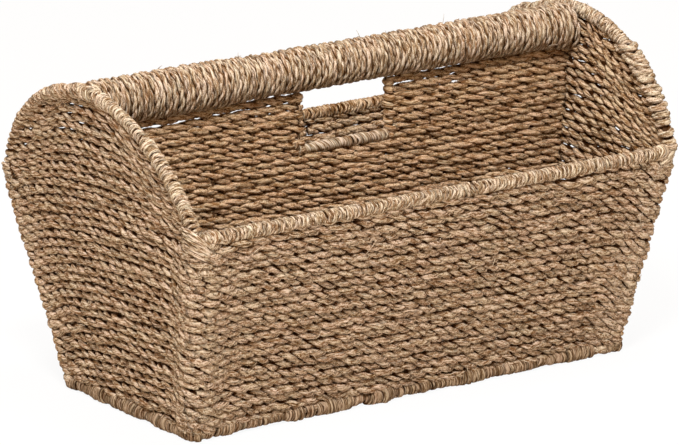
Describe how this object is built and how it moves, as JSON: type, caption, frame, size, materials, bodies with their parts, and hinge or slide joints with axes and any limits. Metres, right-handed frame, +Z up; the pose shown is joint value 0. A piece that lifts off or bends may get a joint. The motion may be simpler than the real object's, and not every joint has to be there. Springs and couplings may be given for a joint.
{
  "type": "magazine basket",
  "caption": "Flared rectangular rope-woven basket on a wire frame, with arched ends, a central divider with a hand window, two open pockets and a thick rope-wound handle.",
  "frame": {"origin": "centre of the footprint on the floor plane, under the middle of the base ring", "axes": "+X along the handle and the long walls, +Y from the front pocket to the rear pocket, +Z up"},
  "size_m": [0.4598, 0.2946, 0.2643],
  "materials": {
    "steel_wire": "dull bronze-brown paint on welded steel wire",
    "wall_rope": "matt twisted two-ply seagrass rope, tan with brown and straw strands",
    "binding_cord": "matt split seagrass cord, pale straw, wound close",
    "base_cord": "matt split seagrass cord, browner, wound close",
    "handle_rope": "matt twisted two-ply seagrass rope, pale straw and tan",
    "core_cane": "bare bundled cane, dull"
  },
  "bodies": {
    "root": {"base_frame": "steel_wire", "front_frame": "steel_wire", "rear_frame": "steel_wire", "left_end_hoop": "steel_wire", "right_end_hoop": "steel_wire", "divider_frame": "steel_wire", "handle_rod": "steel_wire", "front_wall": "wall_rope", "rear_wall": "wall_rope", "left_end_wall": "wall_rope", "right_end_wall": "wall_rope", "divider_wall": "wall_rope", "floor_weave": "wall_rope", "front_rim_wrap": "binding_cord", "rear_rim_wrap": "binding_cord", "left_arch_wrap": "binding_cord", "right_arch_wrap": "binding_cord", "sill_wrap": "binding_cord", "front_left_lashing": "binding_cord", "front_right_lashing": "binding_cord", "rear_left_lashing": "binding_cord", "rear_right_lashing": "binding_cord", "front_base_wrap": "base_cord", "rear_base_wrap": "base_cord", "left_base_wrap": "base_cord", "right_base_wrap": "base_cord", "handle_wrap": "handle_rope", "handle_core": "core_cane"}
  },
  "joints": []
}
